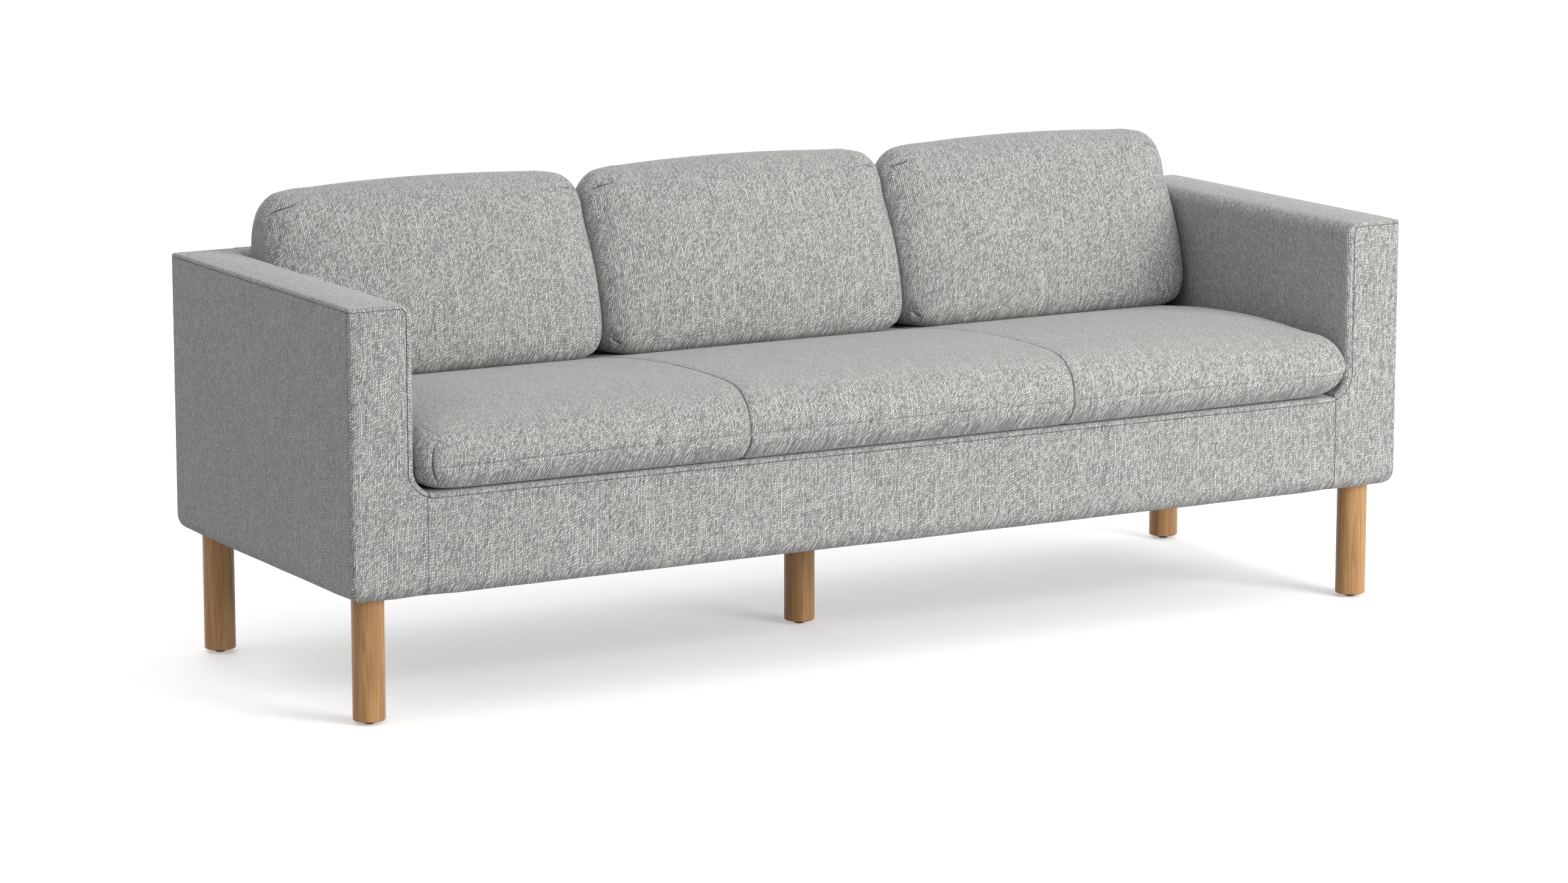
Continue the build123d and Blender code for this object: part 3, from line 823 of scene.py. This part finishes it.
def rail_border():
    seam = [front_seam(0)]
    for turn in spaced(cove_end, quarter, 6)[1:]:
        x = inner_half - cove_radius + seam_reach * math.cos(turn)
        seam.append((x, top - (deck + cove_radius - seam_reach * math.sin(turn)), seam_roll))
    right = [(rail_end, side.length, seam_roll)] + seam
    left = [(-x, h, roll) for x, h, roll in reversed(right)]
    return right + left


def oblong(x, y0, y1, front_roll, rear_roll):
    """Border of a level panel, from -x to x and from y0 to y1."""
    return [(-x, y0, front_roll), (x, y0, front_roll), (x, y1, rear_roll), (-x, y1, rear_roll)]


def lip_border():
    return oblong(cove_foot, front, lip_rear, rail_roll, seam_roll)


def deck_border():
    return oblong(cove_foot, lip_rear, back_inner, seam_roll, seam_roll)


def dust_border():
    return oblong(dust_half, front + wrap - dust_lap, rear - wrap + dust_lap, dust_roll, dust_roll)


# Upholstery panels: outline, surface, puff, mesh spacing, material, and the filling each holds
arm_panels = {
    "arm_cover_outer": (arm_outer_border, on_side, 0.001, (0.016, 0.007), grey_tweed, ()),
    "arm_cover_front": (arm_front_border, on_front, 0.001, (0.009, 0.007), grey_tweed, ()),
    "arm_cover_inner": (arm_inner_border, on_arm, 0.0, (0.006, 0.016), arm_tweed, ("arm_foam",)),
}
body_panels = {
    "back_cover_outer": (back_outer_border, on_rear, 0.001, (0.016, 0.007), grey_tweed, ()),
    "back_cover_inner": (back_inner_border, on_back, 0.0, (0.006, 0.016), grey_tweed, ("back_foam",)),
    "front_rail_cover": (rail_border, on_front, 0.0015, (0.016, 0.007), grey_tweed, ("front_rail_foam",)),
    "deck_front_lip": (lip_border, on_deck, 0.0, (0.012, 0.012), grey_tweed, ()),
    "seat_deck": (deck_border, on_deck, 0.0, (0.016, 0.016), deck_cloth, ()),
    "dust_cover": (dust_border, under, 0.0, (0.02, 0.02), dust_cloth, ()),
}


def upholster(name, panel, mirrored, prefix):
    """Builds a cover panel in place of its node, and of the filling under it."""
    border, place, puff, grid, material, filling = panel
    mesh = panel_mesh(f"{prefix}{name}_cloth", border(), place, puff, grid, mirrored)
    piece = add_object(f"{prefix}{name}_cloth", mesh)
    nodes = [f"{prefix}{n}" for n in (name, *filling)]
    slot = material.name if material.name in finishes else "grey_tweed"
    dress(piece, "frame", slot, material, *nodes)
    modify(piece, "cloth", "SOLIDIFY", thickness=cloth_thickness, offset=-1)  # inwards


for name, panel in arm_panels.items():
    upholster(name, panel, False, "right_")
    upholster(name, panel, True, "left_")
for name, panel in body_panels.items():
    upholster(name, panel, False, "")

# Cushions: the filling swells in a cloth simulation until its neighbours stop it
touch = 0.0004  # gap kept between neighbours
platform_front = (0.1335, 0.4573)  # (y, z) on the seat cushion where the back cushions stand
platform_rear = (0.2842, 0.4433)
seat_voxel = 0.010
back_voxel = 0.009
soften_rounds = 9
swell_cap = 0.012
swell_frames = 20
seat_pressure = 1.2
back_pressure = 5.0
cover_gap = 0.0050  # from the filling to the outside of its cover
even_rounds = 30
facing_share = 0.7  # least share of a normal for a point to count as facing that way
cloth_values = {
    "quality": 5,
    "mass": 0.3,
    "tension_stiffness": 40,
    "compression_stiffness": 40,
    "shear_stiffness": 16,
    "bending_stiffness": 1.5,
    "use_pressure": True,
    "vertex_group_mass": "held",
}

# A sewn seam: a narrow groove in a shallow valley
groove_width = 0.0026
groove_depth = 0.0022
valley_width = 0.016
valley_depth = 0.0012
cut_reach = 0.014
cut_snap = 0.0002
cut_offsets = (-0.0055, -groove_width, -0.0012, 0, 0.0012, groove_width, 0.0055)

# Seams of the seat cushion: between its panels, along its border and at its front corners
seat_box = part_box("seat_cushion_cover")
seat_end = seat_box[1].x
panel_seam = 0.302
border_seam = 0.408
border_seam_droop = 0.007
border_strength = 0.85
corner_x, corner_y = seat_end - 0.060, seat_box[0].y + 0.060
corner_low, corner_high = 0.384, 0.446
corner_low_fade, corner_high_fade = 0.010, 0.012

# Darts at the front corners of the back cushions, with each corner's (y, z)
top_corner = (0.213, 0.747)
low_corner = (0.130, 0.458)
top_dart = 0.055
low_dart = 0.024
dart_depth = 0.030
dart_fade = 0.010
dart_full = 0.8  # share of a dart's reach where it is at full strength
dart_draw = 1.8


def platform(y):
    """Height of the seat cushion's rear part, where the back cushions stand."""
    slope = (platform_rear[1] - platform_front[1]) / (platform_rear[0] - platform_front[0])
    return platform_front[1] + slope * (y - platform_front[0])


def filling_copy(name, node, voxel):
    """An evenly meshed copy of a cushion's filling."""
    piece = add_object(name, frame["nodes"][node].data.copy())
    modify(piece, "even", "REMESH", mode="VOXEL", voxel_size=voxel)
    modify(piece, "soften", "SMOOTH", factor=0.5, iterations=soften_rounds)
    bake(piece)
    return piece


def bake(piece):
    """Applies the piece's modifiers to its mesh."""
    seen = piece.evaluated_get(bpy.context.evaluated_depsgraph_get())
    mesh = bpy.data.meshes.new_from_object(seen)
    piece.modifiers.clear()
    piece.data = mesh


def read_points(mesh):
    points = np.empty(len(mesh.vertices) * 3)
    mesh.vertices.foreach_get("co", points)
    return points.reshape(-1, 3)


def write_points(mesh, points):
    mesh.vertices.foreach_set("co", points.ravel())
    mesh.update()


def read_normals(mesh):
    normals = np.empty(len(mesh.vertices) * 3)
    mesh.vertex_normals.foreach_get("vector", normals)
    return normals.reshape(-1, 3)


def add_cloth(piece, held, pressure):
    """Pressure inside the cushion, with its held points fixed."""
    pin = piece.vertex_groups.new(name="held")
    pin.add([int(i) for i in np.nonzero(held)[0]], 1.0, "REPLACE")
    cloth = piece.modifiers.new("swell", "CLOTH")
    for key, value in cloth_values.items():
        setattr(cloth.settings, key, value)
    cloth.settings.uniform_pressure_force = pressure
    cloth.settings.effector_weights.gravity = 0
    cloth.point_cache.frame_start = 1
    cloth.point_cache.frame_end = swell_frames


def seat_held(points, normals):
    """The seat cushion is held underneath, under the back cushions and along its seams."""
    x, y, _ = points.T
    on_seam = np.abs(np.abs(x) - panel_seam) < seat_voxel / 2
    on_border = np.abs(border_line(points)) < seat_voxel / 2
    return (normals[:, 2] < -facing_share) | (y > platform_front[0]) | on_seam | on_border


def back_held(points, normals):
    """A back cushion is held where it leans and where it stands."""
    return (normals[:, 1] > facing_share) | (normals[:, 2] < -facing_share)


def swell(pieces):
    """Blows the cushions up together, each point by no more than the cap."""
    before = [read_points(piece.data) for piece, *_ in pieces]
    for piece, held, pressure in pieces:
        add_cloth(piece, held(read_points(piece.data), read_normals(piece.data)), pressure)
    for step in range(1, swell_frames + 1):
        scene.frame_set(step)
    for piece, *_ in pieces:
        bake(piece)
    scene.frame_set(1)
    for (piece, *_), old in zip(pieces, before):
        shift = read_points(piece.data) - old
        far = np.linalg.norm(shift, axis=1)
        shift *= np.minimum(1, swell_cap / np.maximum(far, 1e-9))[:, None]
        write_points(piece.data, old + evened(piece.data, shift) + read_normals(piece.data) * cover_gap)


def evened(mesh, shift):
    """Moves of a mesh's points, each averaged with its neighbours' so that no crease is left."""
    ends = np.empty(len(mesh.edges) * 2, int)
    mesh.edges.foreach_get("vertices", ends)
    a, b = ends.reshape(-1, 2).T
    count = np.bincount(ends, minlength=len(shift))[:, None]
    for _ in range(even_rounds):
        total = np.zeros_like(shift)
        np.add.at(total, a, shift[b])
        np.add.at(total, b, shift[a])
        shift = (shift + total / count) / 2
    return shift


def keep_seat_clear(points):
    """Keeps the seat cushion off the deck, the arms, the back and the back cushions."""
    x, y, z = points.T
    z[:] = np.maximum(z, deck + touch)
    x[:] = np.clip(x, touch - inner_half, inner_half - touch)
    y[:] = np.minimum(y, back_inner - touch)
    under_back = y > platform_front[0]
    z[under_back] = np.minimum(z, platform(y) - touch)[under_back]


def keep_back_clear(points, centre, half):
    """Keeps a back cushion off its neighbours, the back and the seat cushion."""
    x, y, z = points.T
    x[:] = np.clip(x, centre - half + touch, centre + half - touch)
    y[:] = np.minimum(y, back_inner - touch)
    z[:] = np.maximum(z, platform(y) + touch)


# A seam where height(points) is zero, as strong as strength(points) says, from 0 to 1
Seam = namedtuple("Seam", "height strength depth", defaults=[1.0])


def sew(piece, seams):
    """Cuts mesh lines along the seams and draws the cloth in there."""
    mesh = piece.data
    for seam in seams:
        cut(mesh, seam)
    points, normals = read_points(mesh), read_normals(mesh)
    near = np.full(len(points), no_seam)
    sink = np.zeros(len(points))
    for seam in seams:
        away = np.abs(seam.height(points))
        strength = seam.strength(points)
        groove = np.clip(1 - (away / groove_width) ** 2, 0, 1) ** 1.5 * groove_depth
        valley = np.clip(1 - (away / valley_width) ** 2, 0, 1) ** 2 * valley_depth
        sink = np.maximum(sink, strength * (groove + valley) * seam.depth)
        near = np.minimum(near, away + (1 - strength) * no_seam)
    write_points(mesh, points - normals * sink[:, None])
    # The distance to the seam is kept for the tweed, which paints shade in the groove by it
    store(mesh, "seam", near)


def cut(mesh, seam):
    """Adds lines of points on the seam and beside it."""
    points = read_points(mesh)
    close = (np.abs(seam.height(points)) < cut_reach) & (seam.strength(points) > 0)
    bm = bmesh.new()
    bm.from_mesh(mesh)
    bm.verts.ensure_lookup_table()
    strip = [bm.verts[i] for i in np.nonzero(close)[0]]
    for offset in cut_offsets:
        cut_line(bm, strip, seam.height(np.array([v.co for v in strip])) - offset)
    bm.to_mesh(mesh)
    bm.free()


def cut_line(bm, strip, heights):
    """Splits the strip's faces where the height above the line changes sign."""
    level = {v: 0.0 if abs(h) < cut_snap else h for v, h in zip(strip, heights)}
    for edge in dict.fromkeys(e for v in strip for e in v.link_edges):
        a, b = edge.verts
        if a in level and b in level and level[a] * level[b] < 0:
            share = level[a] / (level[a] - level[b])
            vert = bmesh.utils.edge_split(edge, a, share)[1]
            level[vert] = 0.0
            strip.append(vert)
    on_line = [v for v in strip if level[v] == 0.0]
    for face in dict.fromkeys(f for v in on_line for f in v.link_faces):
        ends = [v for v in face.verts if level.get(v) == 0.0]
        if len(ends) == 2 and bm.edges.get(ends) is None:
            bmesh.utils.face_split(face, *ends)


def fade(values, low, high):
    """0 below low, 1 above high."""
    share = np.clip((values - low) / (high - low), 0, 1)
    return share * share * (3 - 2 * share)


def seat_seams():
    sides = (-1, 1)
    panels = [Seam(lambda p, s=s: p[:, 0] - s * panel_seam, lambda p: np.ones(len(p))) for s in sides]
    border = Seam(border_line, lambda p: np.full(len(p), border_strength))
    corners = [Seam(lambda p, s=s: corner_line(p, s), lambda p, s=s: corner_strength(p, s)) for s in sides]
    return [*panels, border, *corners]


def border_line(p):
    """Height above the seam between the top panels and the border of the seat cushion."""
    return p[:, 2] - border_seam + border_seam_droop * (p[:, 0] / seat_end) ** 2


def corner_line(p, sign):
    """Distance from the upright plane that halves a front corner of the seat cushion."""
    return ((sign * p[:, 0] - corner_x) + (p[:, 1] - corner_y)) / math.sqrt(2)


def corner_strength(p, sign):
    """1 at a front corner of the seat cushion, between the ends of its seam."""
    at_corner = (sign * p[:, 0] > corner_x) & (p[:, 1] < corner_y)
    over_low = fade(p[:, 2], corner_low - corner_low_fade, corner_low)
    over_high = fade(p[:, 2], corner_high - corner_high_fade, corner_high)
    return at_corner * over_low * (1 - over_high)


def dart_strength(p, centre, half, reach, corner):
    """1 at a back cushion's front corners, 0 further in from the ends than reach."""
    at_end = fade(np.abs(p[:, 0] - centre), half - reach, half - dart_full * reach)
    rear_end = corner[0] + dart_depth
    return at_end * (1 - fade(p[:, 1], rear_end - dart_fade, rear_end))


def back_seams(centre, half):
    """Darts that halve the front corners of a back cushion, above and below."""
    return [
        Seam(
            lambda p, c=corner, k=slant: (p[:, 1] - c[0] + k * p[:, 2] - k * c[1]) / math.sqrt(2),
            lambda p, c=corner, r=reach: dart_strength(p, centre, half, r, c),
            dart_draw,
        )
        for corner, slant, reach in ((top_corner, 1, top_dart), (low_corner, -1, low_dart))
    ]


def cushions():
    """Stuffs all four cushions together, then sews and dresses each."""
    seat = filling_copy("seat_cushion_stuffed", "seat_cushion_core", seat_voxel)
    backs = {}
    for place in ("left", "centre", "right"):
        backs[place] = filling_copy(f"back_cushion_{place}_stuffed", f"back_cushion_{place}_core", back_voxel)
    swell([(seat, seat_held, seat_pressure)] + [(b, back_held, back_pressure) for b in backs.values()])
    finish_cushion(seat, "seat_cushion", keep_seat_clear, seat_seams())
    for place, piece in backs.items():
        low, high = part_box(f"back_cushion_{place}_cover")
        centre, half = (low.x + high.x) / 2, (high.x - low.x) / 2
        finish_cushion(
            piece,
            f"back_cushion_{place}",
            lambda points: keep_back_clear(points, centre, half),
            back_seams(centre, half),
        )


def finish_cushion(piece, body, keep_clear, seams):
    modify(piece, "smooth", "SUBSURF", levels=1, render_levels=1)
    bake(piece)
    points = read_points(piece.data)
    keep_clear(points)
    write_points(piece.data, points)
    sew(piece, seams)
    dress(piece, body, "grey_tweed", grey_tweed, f"{body}_cover", f"{body}_core")


cushions()

# Studio: white floor, soft key light from the front right, even light all round
key_place, key_power = Vector((2.3, -4.9, 2.2)), 268.0
fill_place, fill_power = Vector((0.8, 4.5, 2.4)), 60.0
lamp_target = Vector((0, 0, 0.4))
lamp_size = 2.8
overhead_strength = 0.95
overhead_spread = math.radians(120)
sky_level = 0.40
floor_size = 60.0
floor_bounce = 0.5
floor_tone = 0.98
floor_glow = 0.33

# Camera at the photograph's angle, in degrees, with its lens in millimetres
camera_place = (-4.0826, -7.0534, 1.8260)
camera_dip = 10.53
camera_turn = 29.82
lens_length = 114.51


def background_share(tree):
    """1 for rays that show the background: from the camera, a mirror or glass."""
    path = tree.nodes.new("ShaderNodeLightPath")
    share = path.outputs["Is Camera Ray"]
    for name in ("Is Glossy Ray", "Is Transmission Ray"):
        larger = tree.nodes.new("ShaderNodeMath")
        larger.operation = "MAXIMUM"
        tree.links.new(share, larger.inputs[0])
        tree.links.new(path.outputs[name], larger.inputs[1])
        share = larger.outputs[0]
    return share


def shader(tree, kind, **inputs):
    node = tree.nodes.new("ShaderNode" + kind)
    for key, value in inputs.items():
        node.inputs[key].default_value = value
    return node.outputs[0]


def show(tree, lit, seen, output):
    """Lights the scene by one shader, and shows the background by another."""
    mix = tree.nodes.new("ShaderNodeMixShader")
    for socket, source in zip(mix.inputs, (background_share(tree), lit, seen)):
        tree.links.new(source, socket)
    tree.links.new(mix.outputs[0], tree.nodes.new("ShaderNodeOutput" + output).inputs[0])


def studio_world():
    world = bpy.data.worlds.new("studio")
    scene.world = world
    world.use_nodes = True
    tree = world.node_tree
    tree.nodes.clear()
    lit = shader(tree, "Background", Color=(1, 1, 1, 1), Strength=sky_level)
    seen = shader(tree, "Background", Color=(1, 1, 1, 1))
    show(tree, lit, seen, "World")


def floor_material():
    material = bpy.data.materials.new("studio_floor")
    material.use_nodes = True
    tree = material.node_tree
    tree.nodes.clear()
    lit = shader(tree, "BsdfDiffuse", Color=(floor_bounce, floor_bounce, floor_bounce, 1))
    pale = shader(tree, "BsdfDiffuse", Color=(floor_tone, floor_tone, floor_tone, 1))
    seen = tree.nodes.new("ShaderNodeAddShader")
    tree.links.new(pale, seen.inputs[0])
    tree.links.new(shader(tree, "Emission", Strength=floor_glow), seen.inputs[1])
    show(tree, lit, seen.outputs[0], "Material")
    return material


def studio_floor():
    mesh = bpy.data.meshes.new("floor")
    reach = floor_size / 2
    corners = [(x * reach, y * reach, 0) for x, y in ((-1, -1), (1, -1), (1, 1), (-1, 1))]
    mesh.from_pydata(corners, [], [(0, 1, 2, 3)])
    mesh.materials.append(floor_material())
    floor = add_object("floor", mesh)


def add_lamp(name, light, direction, place=(0, 0, 0)):
    """A lamp that shines against direction."""
    holder = add_object(name, light)
    holder.location = place
    holder.rotation_euler = direction.to_track_quat("Z", "Y").to_euler()


def studio_lamps():
    for name, place, power in (("key", key_place, key_power), ("fill", fill_place, fill_power)):
        panel = bpy.data.lights.new(name, "AREA")
        panel.energy = power
        panel.size = lamp_size
        add_lamp(name, panel, place - lamp_target, place)
    overhead = bpy.data.lights.new("overhead", "SUN")
    overhead.energy = overhead_strength
    overhead.angle = overhead_spread
    add_lamp("overhead", overhead, Vector((0, 0, 1)))


def photo_camera():
    lens = bpy.data.cameras.new("photo")
    lens.sensor_width = 36.0
    lens.lens = lens_length
    camera = add_object("photo", lens)
    camera.location = camera_place
    camera.rotation_euler = (math.radians(90 - camera_dip), 0, math.radians(-camera_turn))
    scene.camera = camera


studio_world()
studio_floor()
studio_lamps()
photo_camera()
